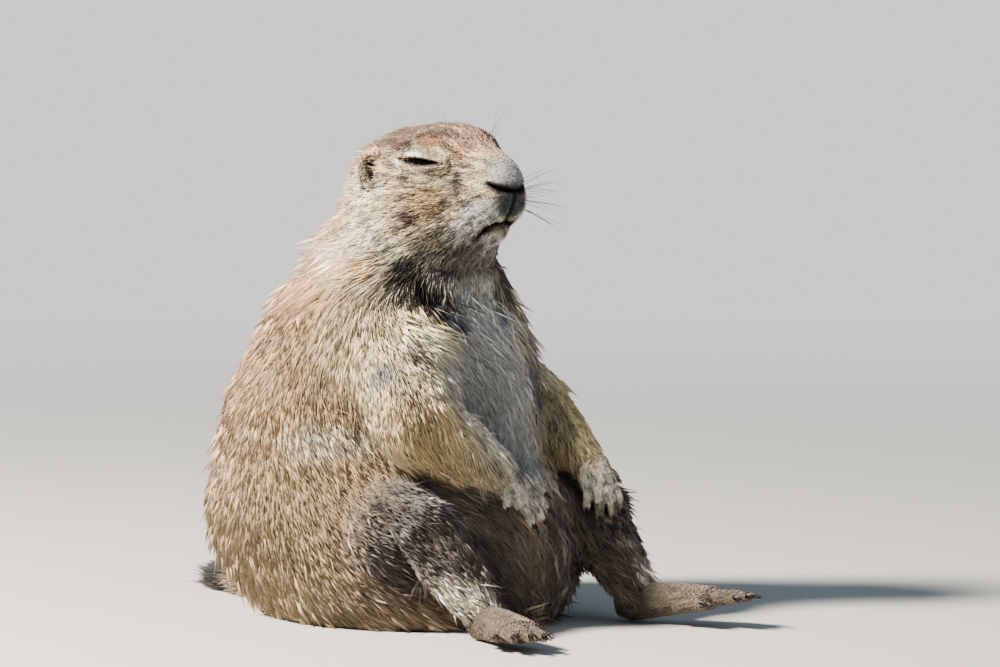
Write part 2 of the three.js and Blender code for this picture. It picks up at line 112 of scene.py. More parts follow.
# Depth of the skin under the hair tips, length of the under and the top hair, half width of a tuft, under
# and top tufts to the square millimetre, smoothing of the skin, contrast of the coat's streaks
KINDS = {
    "torso": (3.2, 7.5, 13.5, 0.125, 2.1, 1.2, 1.0, 0.135),
    "neck": (3.0, 7.0, 12.0, 0.12, 2.2, 1.3, 1.0, 0.17),
    "head": (1.6, 3.3, 5.2, 0.125, 4.2, 2.4, 0.55, 0.27),
    "ear": (0.9, 1.1, 1.7, 0.11, 3.5, 2.5, 0.6, 0.15),
    "upper_arm": (2.6, 6.8, 11.5, 0.12, 2.3, 1.3, 0.9, 0.15),
    "forearm": (1.9, 5.4, 8.6, 0.11, 2.8, 1.6, 0.7, 0.2),
    "hand": (0.3, 1.3, 2.1, 0.085, 4.5, 2.5, 1.0, 0.25),
    "thigh": (3.2, 7.5, 13.5, 0.125, 2.1, 1.2, 0.9, 0.26),
    "shin": (2.3, 6.5, 11.0, 0.115, 2.5, 1.4, 0.8, 0.26),
    "foot": (0.5, 1.4, 2.1, 0.085, 4.5, 2.6, 1.0, 0.09),
    "tail": (2.6, 6.0, 9.5, 0.22, 1.9, 1.1, 0.6, 0.25),
    "tail_tip": (0.3, 10.0, 16.0, 0.26, 3.0, 2.4, 0.2, 0.3),
}
KIND_NAMES = list(KINDS)
HEAD, TORSO, TAIL_TIP = (KIND_NAMES.index(kind) for kind in ("head", "torso", "tail_tip"))
DEPTH, SHORT, LONG, WIDTH, UNDER, TOP, SMOOTHING, CONTRAST = np.array(list(KINDS.values())).T


def are(names, kinds):
    """Whether each number of a kind is that of one of the names."""
    return np.isin(kinds, [KIND_NAMES.index(name) for name in names])


def kind_of(node):
    kind = node.removeprefix("right_").removeprefix("left_")
    return "head" if kind == "nose" else kind


def centre_of(*nodes):
    corners = [np.array(corner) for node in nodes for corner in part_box(node)]
    return (np.min(corners, axis=0) + np.max(corners, axis=0)) / 2


def arrays_of(mesh):
    """The points and the triangles of a mesh."""
    mesh.calc_loop_triangles()
    points = np.empty(len(mesh.vertices) * 3)
    mesh.vertices.foreach_get("co", points)
    corners = np.empty(len(mesh.loop_triangles) * 3, np.int32)
    mesh.loop_triangles.foreach_get("vertices", corners)
    return points.reshape(-1, 3), corners.reshape(-1, 3)


def normals_of(points, triangles):
    a, b, c = (points[triangles[:, n]] for n in range(3))
    facing = np.cross(b - a, c - a)
    total = np.zeros_like(points)
    for axis in range(3):
        for corner in range(3):
            total[:, axis] += np.bincount(triangles[:, corner], facing[:, axis], len(points))
    return unit(total)


def edges_of(triangles):
    pairs = np.concatenate([triangles[:, [0, 1]], triangles[:, [1, 2]], triangles[:, [2, 0]]])
    return np.unique(np.sort(pairs, axis=1), axis=0)


def spread(values, edges, rounds, weight=1.0):
    """Values at the skin's points, evened out between neighbours."""
    count = len(values)
    one, other = edges.T
    neighbours = np.bincount(one, minlength=count) + np.bincount(other, minlength=count)
    flat = values.reshape(count, -1).copy()
    weight = np.broadcast_to(np.asarray(weight, float) * 0.5, count)
    for _ in range(rounds):
        for column in range(flat.shape[1]):
            line = flat[:, column]
            total = np.bincount(one, line[other], count) + np.bincount(other, line[one], count)
            flat[:, column] = line + weight * (total / np.maximum(neighbours, 1) - line)
    return flat.reshape(values.shape)


def even(values, reach, weight=1.0):
    """Values at the skin's points, evened out over about the given millimetres."""
    return spread(values, edges, round((reach * MM / VOXEL) ** 2), weight)


def tube(stations, sides=12):
    """A closed round tube through (centre, radius in millimetres) stations."""
    centres = np.array([centre for centre, _ in stations])
    points, triangles = [], []
    for n, (centre, radius) in enumerate(stations):
        along = unit(centres[min(n + 1, len(centres) - 1)] - centres[max(n - 1, 0)])
        across = unit(np.cross([0, 0, 1], along))
        over = np.cross(along, across)
        for side in range(sides):
            angle = math.tau * side / sides
            points.append(centre + (across * math.cos(angle) + over * math.sin(angle)) * radius * MM)
    for ring in range(len(stations) - 1):
        for side in range(sides):
            a, b = ring * sides + side, ring * sides + (side + 1) % sides
            triangles += [(a, b, b + sides), (a, b + sides, a + sides)]
    ends = [len(points), len(points) + 1]
    points += [centres[0], centres[-1]]
    last = (len(stations) - 1) * sides
    for side in range(sides):
        after = (side + 1) % sides
        triangles += [(ends[0], after, side), (ends[1], last + side, last + after)]
    return np.array(points), np.array(triangles)


def welded(name):
    """A node's points and triangles, with points in one place joined."""
    points, triangles = arrays_of(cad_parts[name].data)
    _, first, merged = np.unique(np.round(points / 1e-6), axis=0, return_index=True, return_inverse=True)
    return points[first], merged.reshape(-1)[triangles]


def hull_of(points):
    """The closed convex mesh round the points."""
    ball = bmesh.new()
    for point in points:
        ball.verts.new(point)
    bmesh.ops.convex_hull(ball, input=ball.verts)
    bmesh.ops.delete(ball, geom=[v for v in ball.verts if not v.link_faces], context="VERTS")
    bmesh.ops.recalc_face_normals(ball, faces=ball.faces)
    mesh = bpy.data.meshes.new("hull")
    ball.to_mesh(mesh)
    ball.free()
    return arrays_of(mesh)


def flesh_parts():
    """(kind, points, triangles) of each flesh node, with the nostrils filled and the paws thinned to cores,
    of balls that fill the sockets, and of the tail's core."""
    for name in FLESH:
        points, triangles = welded(name)
        if name == "nose":
            points, triangles = hull_of(points)
        if name in PAWS:
            points = points - normals_of(points, triangles) * PAW_CORE
        yield kind_of(name), points, triangles
    for side, (centre, radius) in EYES.items():
        points, triangles = welded(f"{side}_eye")
        yield "head", centre + (points - centre) * (1 + SOCKET_FILL / radius), triangles
    yield "tail_tip", *tube(TAIL_CORE)


def mesh_of(name, points, triangles):
    mesh = bpy.data.meshes.new(name)
    mesh.from_pydata(points.tolist(), [], triangles.tolist())
    return mesh


def placed(name, data):
    piece = bpy.data.objects.new(name, data)
    bpy.context.scene.collection.objects.link(piece)
    return piece


EYES = {}
for side_name in SIDES:
    low, high = (np.array(corner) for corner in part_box(f"{side_name}_eye"))
    EYES[side_name] = ((low + high) / 2, (high - low)[2] / 2)
EYE_CENTRES = [centre for centre, _ in EYES.values()]
NOSE_TIP = at(0, 65, 173)
EARS = {side: at(sign * 22.0, 5.4, 177.5) for side, sign in SIDES.items()}
# Balls of (centre, radius) with smaller faces, and those in them with smaller faces still
HEAD_SPOTS = [(at(0, 28, 174), 40 * MM)]
FACE_SPOTS = [(centre, 12 * MM) for centre in EYE_CENTRES] + [(centre, 10 * MM) for centre in EARS.values()]
FACE_SPOTS += [(at(0, 57, 166), 15 * MM)]


def remeshed(name, points, triangles, voxel):
    """A mesh of small, even faces round all the given ones."""
    lump = placed(name, mesh_of(name, points, triangles))
    whole = lump.modifiers.new("whole", "REMESH")
    whole.mode = "VOXEL"
    whole.voxel_size = voxel
    mesh = bpy.data.meshes.new_from_object(lump.evaluated_get(bpy.context.evaluated_depsgraph_get()))
    bpy.data.objects.remove(lump)
    return mesh


def joined(parts):
    """The points and triangles of several meshes as one."""
    starts = np.cumsum([0] + [len(points) for points, _ in parts])
    triangles = [rows + start for (_, rows), start in zip(parts, starts)]
    return np.concatenate([points for points, _ in parts]), np.concatenate(triangles)


def surface_of(points, triangles):
    """Finds the nearest place on a mesh."""
    return BVHTree.FromPolygons(points.tolist(), triangles.tolist())


def whole_skin():
    """One closed mesh round all the flesh, with the parts that its nearest places come from."""
    kinds, *parts = zip(*flesh_parts())
    parts = list(zip(*parts))
    kinds = [KIND_NAMES.index(kind) for kind, (_, triangles) in zip(kinds, parts) for _ in triangles]
    swollen = [(points + normals_of(points, triangles) * SWELL, triangles) for points, triangles in parts]
    return remeshed("joined", *joined(swollen), VOXEL), surface_of(*joined(parts)), np.array(kinds)


def refined(mesh, rounds=()):
    """The mesh's points and triangles, with the faces in each round's balls cut to half the size."""
    cut = bmesh.new()
    cut.from_mesh(mesh)
    for spots in rounds:
        for centre, reach in spots:
            middle = Vector(centre)
            near = {v for v in cut.verts if (v.co - middle).length < reach}
            edges = [e for e in cut.edges if e.verts[0] in near and e.verts[1] in near]
            bmesh.ops.subdivide_edges(cut, edges=edges, cuts=1, use_grid_fill=True)
    bmesh.ops.triangulate(cut, faces=cut.faces)
    cut.to_mesh(mesh)
    cut.free()
    return arrays_of(mesh)


def paw_skin(name, sunk):
    """The points and triangles of a hand or foot with its digits apart, rounded and under its short fur."""
    points, triangles = refined(remeshed(name, *welded(name), PAW_VOXEL))
    points = spread(points, edges_of(triangles), 7, 0.7)
    return points - normals_of(points, triangles) * sunk * MM, triangles


# Face: the lids round each slit, the ears, the nostrils and the line of the mouth

EYE_STRETCH = 1.6
# The slit of an eye, in degrees and millimetres, and how far round the eyeball it goes, in radii
SLIT = {
    "tilt": 2, "half_length": 8.0, "half_height": 1.05, "back": 0.1, "down": 0.5, "lid": 1.1, "sunk": 1.6,
    "edge": 0.5, "reach": 1.35,
}


def eye_axes(sign):
    tilt = math.radians(SLIT["tilt"])
    along = at(0, math.cos(tilt), -math.sin(tilt)) / MM
    outward = np.array([sign, 0.0, 0.0])
    over = np.cross(along, outward)
    return along, outward, over * (1 if over[2] > 0 else -1)


def eye_places(points, side):
    """How far points are along, across and past an eye's slit, and from the eyeball's centre in radii."""
    centre, radius = EYES[side]
    along, outward, over = eye_axes(SIDES[side])
    offset = points - centre
    ahead, out, above = offset @ along / EYE_STRETCH, offset @ outward, offset @ over
    far = np.sqrt(ahead ** 2 + out ** 2 + above ** 2)
    forward = ahead / far * radius * EYE_STRETCH / MM + SLIT["back"]
    up = above / far * radius / MM + SLIT["down"]
    past = np.abs(forward) - SLIT["half_length"]
    share = np.clip(np.abs(forward) / SLIT["half_length"], 0, 1)
    half = SLIT["half_height"] * (1 - share ** 2) * (1 - 0.35 * forward / SLIT["half_length"])
    gap = np.abs(up) - half
    gap = np.where(past > 0, np.hypot(up, past), gap)
    gap += np.maximum(far / radius - SLIT["reach"], 0) * radius / MM
    gap = np.where(out > 0.1 * radius, gap, 1e3)
    return forward, up, gap, far / radius


def shape_lids(points):
    for side, (centre, radius) in EYES.items():
        forward, up, gap, far = eye_places(points, side)
        rim = 1 + SLIT["lid"] * MM / radius
        sunk = 1 - SLIT["sunk"] * MM / radius
        rim = rim + 0.05 * np.exp(-(((gap - 0.8) / 0.5) ** 2)) - 0.06 * np.exp(-(((gap - 2.5) / 0.45) ** 2))
        target = sunk + (rim - sunk) * ease(0, SLIT["edge"], gap)
        share = ease(5.6, 3.4, np.maximum(gap, 0)) * ease(1.9, 1.5, far)
        points += (points - centre) * ((target / far - 1) * share)[:, None]


# Ears: hollows of (forward, up, radii, depth) and the ridge of the rim, in millimetres on the ear's plane
EAR_HOLLOWS = [(0.9, -1.6, 2.0, 3.0, 3.4), (0.4, 4.3, 3.1, 1.15, 2.2)]
EAR_RIM = {"centre": (0.8, 0.7), "radii": (4.6, 6.6), "width": 1.15, "height": 2.3, "from": 55, "to": 265}


def ear_places(points, side):
    """Where points lie on an ear's plane, forward and up, and how far out of it, in millimetres."""
    outward = unit(at(SIDES[side] * 0.9, 0.36, 0.24))
    ahead = unit(np.cross([0, 0, SIDES[side]], outward))
    ahead = ahead * (-1 if ahead[1] > 0 else 1)
    above = np.cross(outward, ahead)
    above = above * (1 if above[2] > 0 else -1)
    offset = (points - EARS[side]) / MM
    return offset @ ahead, offset @ above, offset @ outward, outward


def ear_forms(points, side):
    """How far each point is into the hollows, which are painted dark as shade, and how high the rim stands
    at each point, from 0 to 1.
    """
    ahead, above, out, _ = ear_places(points, side)
    near = (np.hypot(ahead, above) < 11) & (np.abs(out) < 9)
    hollow, deep = np.zeros((2, len(points)))
    for middle, height, half_long, half_high, depth in EAR_HOLLOWS:
        inside = np.hypot((ahead - middle) / half_long, (above - height) / half_high)
        share = near * ease(1.2, 0.65, inside)
        hollow = np.maximum(hollow, share)
        deep = np.maximum(deep, share * depth)
    x = (ahead - EAR_RIM["centre"][0]) / EAR_RIM["radii"][0]
    y = (above - EAR_RIM["centre"][1]) / EAR_RIM["radii"][1]
    angle = np.degrees(np.arctan2(y, x)) % 360
    start, end = EAR_RIM["from"], EAR_RIM["to"]
    ends = ease(start - 25, start + 25, angle) * ease(end + 20, end - 20, angle)
    from_rim = (np.hypot(x, y) - 1) * np.mean(EAR_RIM["radii"])
    rim = near * ends * np.exp(-((from_rim / EAR_RIM["width"]) ** 2))
    return hollow, deep, rim


def shape_ears(points):
    for side in SIDES:
        _, deep, rim = ear_forms(points, side)
        outward = ear_places(points, side)[3]
        points += outward * ((EAR_RIM["height"] * rim - deep) * MM)[:, None]


# Lines of the muzzle: (left, forward, up, half width) places and the depth, in millimetres
LINES = {
    "nostril": ([(0, 65.3, 171.5, 0.45), (3.4, 63.5, 172.3, 0.9), (6.6, 61.7, 172.9, 1.15),
                 (8.6, 59.8, 174.0, 0.8), (10.0, 57.8, 175.2, 0.3)], 1.8),
    "philtrum": ([(0, 65.5, 172.2, 0.5), (0, 65.0, 168.6, 0.4), (0, 62.5, 164.6, 0.4),
                  (0, 59.5, 160.4, 0.5)], 0.9),
    "lips": ([(0, 57.8, 159.6, 0.8), (4.9, 56.8, 158.7, 1.2), (6.4, 53.7, 157.1, 1.05),
              (7.1, 51.0, 154.9, 0.65), (7.4, 48.8, 153.1, 0.25)], 1.9),
}


def mirrored(points):
    """Points with their distance from the middle plane as X."""
    return np.column_stack([np.abs(points[:, 0]), points[:, 1:]])


def line_places(points, stops):
    """How far points are past the edge of a line in millimetres, and from its middle in half widths."""
    folded = mirrored(points)
    gap, ratio = np.full((2, len(points)), 1e9)
    for (start, start_half), (end, end_half) in zip(stops, stops[1:]):
        reach = end - start
        share = np.clip((folded - start) @ reach / (reach @ reach), 0, 1)
        distance = np.linalg.norm(folded - start - share[:, None] * reach, axis=1) / MM
        half = start_half + share * (end_half - start_half)
        gap = np.minimum(gap, distance - half)
        ratio = np.minimum(ratio, distance / half)
    return gap, ratio


def lines_on(points, triangles):
    """The lines of the muzzle, moved onto the skin."""
    surface = surface_of(points, triangles)
    for places, depth in LINES.values():
        stops = []
        for *place, half in places:
            stops.append((np.array(surface.find_nearest(Vector(at(*place)))[0]), half))
        yield stops, depth


def shape_muzzle(points, normals, lines):
    """Sinks the skin along the lines, and gives each point's distance past their edges in millimetres."""
    sink, past = np.zeros(len(points)), np.full(len(points), 1e9)
    for stops, depth in lines:
        gap, ratio = line_places(points, stops)
        sink = np.maximum(sink, depth * np.exp(-(ratio ** 2)))
        past = np.minimum(past, gap)
    points -= normals * (sink * MM)[:, None]
    return past


def radii_from(points, place, radii):
    """How far points are from a place, with 1 on the edge of the spot that the radii give."""
    return np.linalg.norm((points - at(*place)) / (np.array(radii) * MM), axis=1)


def on_nose(points):
    """1 on the short velvet of the nose and 0 away from it."""
    return ease(1.4, 0.75, radii_from(mirrored(points), (0, 61.5, 178), (9.5, 7.5, 6.5)))


# The lie of the hair

# For parts of a limb: the next part out, how far the hair hangs, and a share of another lie
NEXT_PART = {"upper_arm": "forearm", "forearm": "hand", "thigh": "shin", "shin": "foot"}
HANG = {"upper_arm": 0.7, "forearm": 1.7}
ACROSS = {"thigh": (1, [0, -1, -0.35]), "shin": (0.65, [0, -1, -0.3])}


def lie_of(kind, points):
    """The way that the hair of one kind of part points, before it is laid onto the skin."""
    out = np.zeros_like(points)
    left = points[:, 0] > 0
    forward = -points[:, 1] / MM
    up = points[:, 2] / MM
    if kind == "head":
        out[:] = unit(points - NOSE_TIP) + [0, 0.35, -0.18]
    elif kind == "neck":
        out[:] = [0, 0.85, -0.4]
        out[:, 2] -= 1.1 * ease(20, 38, forward) + 1.1 * ease(12, -10, forward)
    elif kind == "torso":
        out[:] = [0, 0.12, -1]
        out[:, 1] -= 1.3 * ease(-45, 40, forward) * ease(112, 72, up)
        chest = ease(15, 32, forward) * ease(92, 108, up)
        out[:, 0] += 0.75 * chest * np.where(left, 0.3, 1)
        out[:, 1] -= 0.3 * chest * ~left
        belly = ease(40, 62, forward) * ease(75, 50, up)
        inward = -np.sign(points[:, 0]) * ease(0, 25, np.abs(points[:, 0]) / MM)
        out[:, 0] += 0.9 * belly * inward
    elif kind in ("tail", "tail_tip"):
        out[:] = unit(TAIL_CORE[-1][0] - TAIL_CORE[0][0] if kind == "tail_tip"
                      else centre_of("tail_tip") - centre_of("tail"))
    elif kind == "ear":
        out[:] = [0, 0.5, 0.6]
    else:
        for side, mask in (("left", left), ("right", ~left)):
            ends = [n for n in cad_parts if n.startswith(side) and kind in n and n.endswith("claw")]
            if kind in NEXT_PART:
                ends = [f"{side}_{NEXT_PART[kind]}"]
            along = unit(centre_of(*ends) - centre_of(f"{side}_{kind}"))
            share, lie = ACROSS.get(kind, (0, [0, 0, 0]))
            out[mask] = mix(along - [0, 0, HANG.get(kind, 0)], np.array(lie), share)
            if kind == "upper_arm":
                inward = ease(95, 116, up[mask]) * ease(25, 40, forward[mask])
                out[mask] = mix(out[mask], np.array([-0.5 * SIDES[side], -0.8, -0.6]), 0.8 * inward)
    return unit(out)


def laid(ways, normals):
    return unit(ways - normals * np.sum(ways * normals, axis=1, keepdims=True))


# Markings, the same on the skin and on the coat

CINNAMON, TAWNY, BUFF, CREAM = (160, 126, 98), (168, 148, 121), (187, 173, 148), (209, 201, 183)
WHITE, GREY, CREAM_IN_SHADE, NOSE_GREY_AND_HIGHLIGHT = (230, 228, 224), (190, 192, 196), (170, 173, 173), (206, 203, 200)
BROWN, DRAB, GOLD, ROSE = (98, 76, 60), (118, 108, 95), (198, 178, 140), (150, 120, 102)
SLATE, SMOKE, DARK, PIT = (72, 80, 92), (80, 76, 74), (40, 34, 31), (20, 16, 14)
# The last of these darkens the hair's roots and dark streaks, and is painted shade between the tufts and on
# the skin under them.
PALE_TIP, DARK_TIP, DARK_HAIR_AND_SHADE = np.array([(232, 226, 210), (50, 44, 42), (72, 68, 66)], float)
BASES = {
    "torso": TAWNY, "neck": BUFF, "head": BUFF, "ear": TAWNY, "upper_arm": (198, 181, 150),
    # The thigh's dark grey is partly its own dark fur and partly painted shade from the arm and belly over
    # it.
    "forearm": GOLD, "hand": (216, 207, 191), "thigh": (92, 87, 84), "shin": DRAB, "foot": (140, 127, 112),
    "tail": TAWNY, "tail_tip": DARK,
}
# Left, forward and up in millimetres, on both sides, radii, colour, strength, kinds of part if not all
PATCHES = [
    ((20, -30, 120), (60, 45, 50), CINNAMON, 0.62),
    ((39, -14, 135), (8, 12, 14), CINNAMON, 0.5),
    ((55, 0, 90), (22, 40, 50), TAWNY, 0.6),
    # Chest and throat: their pale cream fur, painted a cooler, darker grey as painted shade.
    ((0, 62, 100), (40, 36, 50), CREAM_IN_SHADE, 0.85),
    ((0, 44, 132), (20, 26, 22), CREAM_IN_SHADE, 0.8),
    # The lower belly between the legs: partly its brownish-grey fur, partly painted shade.
    ((34, 82, 34), (34, 34, 40), SMOKE, 0.75, "torso"),
    ((0, 84, 26), (22, 26, 30), DRAB, 0.6, "torso"),
    # Painted shade on the front of the thigh and the belly beside it.
    ((50, 56, 40), (18, 26, 26), SMOKE, 0.5, "torso", "thigh", "shin"),
    ((62, -5, 34), (30, 50, 32), (138, 122, 97), 0.6, "torso"),
    ((40, 30, 12), (30, 40, 14), DRAB, 0.5),
    ((58, 18, 80), (12, 26, 8), CREAM, 0.75),
    # Painted light on the top of the thigh.
    ((52, 46, 68), (10, 22, 7), (150, 139, 117), 0.55, "thigh"),
    ((54, 32, 50), (12, 18, 18), (124, 113, 94), 0.4, "thigh"),
    # Painted light, pale cream, on the lower leg where it comes out under the thigh.
    ((52, 80, 21), (11, 21, 8), CREAM, 0.95),
    ((46, 34, 112), (16, 20, 20), (208, 198, 172), 0.6),
    # Painted shade under the forearm.
    ((48, 62, 64), (14, 28, 14), SMOKE, 0.7, "torso", "thigh", "shin"),
    ((15, 20, 140), (26, 24, 14), CREAM, 0.6),
    ((24, 8, 150), (14, 16, 13), CREAM, 0.6),
    ((48, 18, 118), (16, 16, 16), (214, 198, 172), 0.8, "torso"),
    ((0, 25, 196.5), (27, 28, 11), (84, 65, 52), 0.85),
    ((0, 2, 191), (26, 22, 15), (98, 77, 62), 0.7),
    ((15.5, 34.5, 191.5), (3.4, 8, 7), BROWN, 0.7),
    ((0, 47, 190), (8, 15, 8), ROSE, 0.75),
    ((10.2, 45.5, 187.2), (3, 7, 3.5), CINNAMON, 0.85),
    ((17.5, 36, 190), (5, 8, 3.4), CINNAMON, 0.7),
    ((17, 37.4, 186), (4, 4, 2.6), GOLD, 0.6),
    ((22, 30, 168), (9, 12, 9), TAWNY, 0.6),
    ((18, 38, 172), (6, 7, 8), DRAB, 0.35),
    ((17.5, 35, 167), (6, 6, 7), (192, 164, 126), 0.6),
    ((23.4, 29.3, 162.1), (4.6, 4.6, 2.5), (84, 66, 60), 0.85),
    # A dark line down the back of the whisker pad: partly its dark edge, partly painted shade in the fold
    # there.
    ((13.4, 45.8, 176), (2.0, 2.2, 7.5), (74, 60, 56), 0.95),
    ((14, 41.5, 166.8), (2.2, 5, 1.8), (92, 80, 72), 0.7),
    ((11, 54, 174), (6, 8, 8), (212, 199, 168), 0.9),
    ((9, 54, 164), (7, 8, 6.5), WHITE, 0.95),
    ((8, 47, 155), (8, 10, 6.5), WHITE, 0.85),
    # Painted shade on the front of the muzzle, under the nostrils.
    ((0, 62, 166.5), (8, 5, 6), SLATE, 0.75),
    ((0, 50, 151), (9, 9, 5), GREY, 0.6),
    # Painted shade under the jaw.
    ((12, 40, 149), (14, 14, 10), (98, 93, 83), 0.8),
    ((21, 6, 186), (6, 7, 3.4), CINNAMON, 0.75),
    ((24.5, 3, 171), (4, 5, 4), CREAM, 0.8),
    ((15, 6, 165), (18, 14, 20), CREAM, 0.4),
    ((18, -10, 160), (18, 14, 22), TAWNY, 0.6),
    # Painted shade in the crease between the neck, the chest and the arm.
    ((24, 31, 142), (6, 7, 6), DARK, 0.8),
    ((19, 36, 134), (8, 7, 6), DARK, 0.85),
    ((17, 39, 127), (6, 5, 7), SLATE, 0.7),
    # Painted shade on the side of the chest, under the shoulder.
    ((34, 36, 108), (10, 14, 26), (98, 98, 100), 0.75, "torso"),
    ((34, 19, 143), (6, 13, 5), (196, 160, 120), 0.5),
    ((42, 43, 112), (5, 4, 3.2), DARK, 0.5),
    ((51, 37, 105), (5, 5, 6), SLATE, 0.45),
    # Painted shadow of the forearm, a dark line across the thigh.
    ((47, 52, 66), (7, 9, 3), DARK, 0.6, "torso", "thigh", "shin"),
]


def markings(points, kinds):
    """The coat's colour at each point, as display values, and the folded places that it is set by."""
    base = np.array([BASES[kind] for kind in KIND_NAMES], float)
    colours = even(base[kinds], EVEN["colour"])
    wobble = np.column_stack([cloud(points, 9 * MM, seed) for seed in (1, 2, 3)])
    folded = mirrored(points + wobble * 1.6 * MM)
    for place, radii, colour, strength, *only in PATCHES:
        share = strength * ease(1.25, 0.7, radii_from(folded, place, radii))
        if only:
            share *= are(only, kinds)
        colours = mix(colours, np.array(colour, float), share)
    return colours, folded


# Build the skin: the body in one, and then a finer shell round each hand and foot

# The hollow behind the ears, where the neck is drawn in over the shoulders, in millimetres
NAPE = {"up": 153, "reach": 28, "behind": -18, "full": 10, "depth": 5.5}
# The pad of the nose, where the skin is evened out, fully within one distance and not at all past another
PAD = {"place": at(0, 63.5, 175), "full": 4.5, "none": 7.5, "rounds": 70}
# How far things are evened out over the skin, in millimetres
EVEN = {
    "shape": 6.3, "smoothing": 2.7, "facing": 4.3, "depth": 5, "lie": 3.8, "colour": 9.5,
    "length": 5, "width": 4, "contrast": 6,
}
FLOOR_GAP = 0.05 * MM
HAIR_FROM = 0.6 * MM


def near(points, centres, full, none):
    """1 close to one of some places and 0 away from them all, between two distances in millimetres."""
    distance = np.min([np.linalg.norm(points - centre, axis=1) for centre in centres], axis=0)
    return ease(none, full, distance / MM)


def near_muzzle(points):
    return near(points, [NOSE_TIP], 8, 45)


def closest(places, targets):
    """For each target the number of the place closest to it, and how far that is in millimetres."""
    tree = kdtree.KDTree(len(places))
    for number, place in enumerate(places):
        tree.insert(Vector(place), number)
    tree.balance()
    found = [tree.find(Vector(target)) for target in targets]
    return np.array([hit[1] for hit in found]), np.array([hit[2] for hit in found]) / MM


def ways_to_paws(points):
    """How far points are from the closest hand or foot in millimetres, and the way to its middle."""
    of_paws = np.flatnonzero(shell)[::3]
    numbers, gap = closest(points[of_paws], points)
    middles = np.array([centre_of(name) for name in PAWS])[shell[of_paws][numbers] - 1]
    return gap, unit(middles - points)


def to_limbs(points):
    """For each point of a paw, how far it is from its limb in millimetres, and the limb's closest point."""
    of_limbs = np.flatnonzero(are(LIMBS.values(), labels))
    numbers, gap = closest(points[of_limbs], points[shell > 0])
    return gap, of_limbs[numbers]


mesh, nearest, triangle_kinds = whole_skin()
points, triangles = refined(mesh, (HEAD_SPOTS, FACE_SPOTS))
edges = edges_of(triangles)
labels = triangle_kinds[[nearest.find_nearest(Vector(point))[2] for point in points]]
points = even(points, EVEN["shape"], even(SMOOTHING[labels], EVEN["smoothing"]))
points = spread(points, edges, PAD["rounds"], near(points, [PAD["place"]], PAD["full"], PAD["none"]))
soft_normals = unit(even(normals_of(points, triangles), EVEN["facing"]))
depth = even(DEPTH[labels], EVEN["depth"])
depth *= 1 - 0.65 * (labels == HEAD) * near_muzzle(points)
depth *= 1 - 0.8 * near(points, EYE_CENTRES, 9, 15)
nape = NAPE["depth"] * ease(NAPE["reach"], 0, np.abs(points[:, 2] / MM - NAPE["up"]))
nape *= ease(NAPE["behind"], NAPE["full"], points[:, 1] / MM)
points -= soft_normals * ((depth + nape) * MM)[:, None]
points = spread(points, edges, 30, np.minimum(nape / 3, 0.9))
# Where the hands and feet are thinned cores inside their own shells
stubs = are(LIMBS, labels)
# The number of the paw that each point is on, or 0
shell = np.zeros(len(points), int)
for number, name in enumerate(PAWS, 1):
    kind = KIND_NAMES.index(kind_of(name))
    paw_points, paw_triangles = paw_skin(name, DEPTH[kind])
    triangles = np.concatenate([triangles, paw_triangles + len(points)])
    points = np.concatenate([points, paw_points])
    labels, depth, shell, stubs = (
        np.append(values, np.full(len(paw_points), value))
        for values, value in ((labels, kind), (depth, DEPTH[kind]), (shell, number), (stubs, False))
    )
edges = edges_of(triangles)
muzzle = near_muzzle(points)
paws = (shell > 0).astype(float)
normals = normals_of(points, triangles)
lines = list(lines_on(points, triangles))
line_gap = shape_muzzle(points, normals, lines)
shape_lids(points)
shape_ears(points)
points[:, 2] = np.maximum(points[:, 2], FLOOR_GAP)
normals = normals_of(points, triangles)
one, other = edges.T
sizes = np.linalg.norm(points[one] - points[other], axis=1)
sizes = np.bincount(one, sizes, len(points)) + np.bincount(other, sizes, len(points))
sizes /= np.bincount(edges.ravel())
hollowness = np.sum((spread(points, edges, 4) - points) * normals, axis=1) / sizes

ways = np.zeros_like(points)
for number, kind in enumerate(KIND_NAMES):
    chosen = labels == number
    ways[chosen] = lie_of(kind, points[chosen])
ways = laid(ways, normals)
for _ in range(12):
    ways = laid(even(ways, EVEN["lie"]), normals)

colours, folded = markings(points, labels)
limb_gap, limb_point = to_limbs(points)
colours[shell > 0] = mix(colours[shell > 0], colours[limb_point], 0.85 * ease(9, 2, limb_gap))

slit_gap = np.full(len(points), 1e9)
lid_pale, hollow = np.zeros((2, len(points)))
for side in SIDES:
    forward, up, gap, far = eye_places(points, side)
    gap = np.where(far < 2, gap, 1e3)
    slit_gap = np.minimum(slit_gap, gap)
    above = ease(0.35, 0.7, gap) * ease(3.0, 2.2, gap) * (up > 0)
    above = above * ease(4.5, 1, forward) * ease(-7.5, -5.5, forward)
    below = 0.75 * ease(0.35, 0.6, gap) * ease(1.5, 0.9, gap) * (up < 0)
    below = below * ease(-8, -6, forward) * ease(7, 5, forward)
    lid_pale = np.maximum(lid_pale, np.maximum(above, below))
    hollow = np.maximum(hollow, ear_forms(points, side)[0])
height = points[:, 2] / MM
nose = on_nose(points)
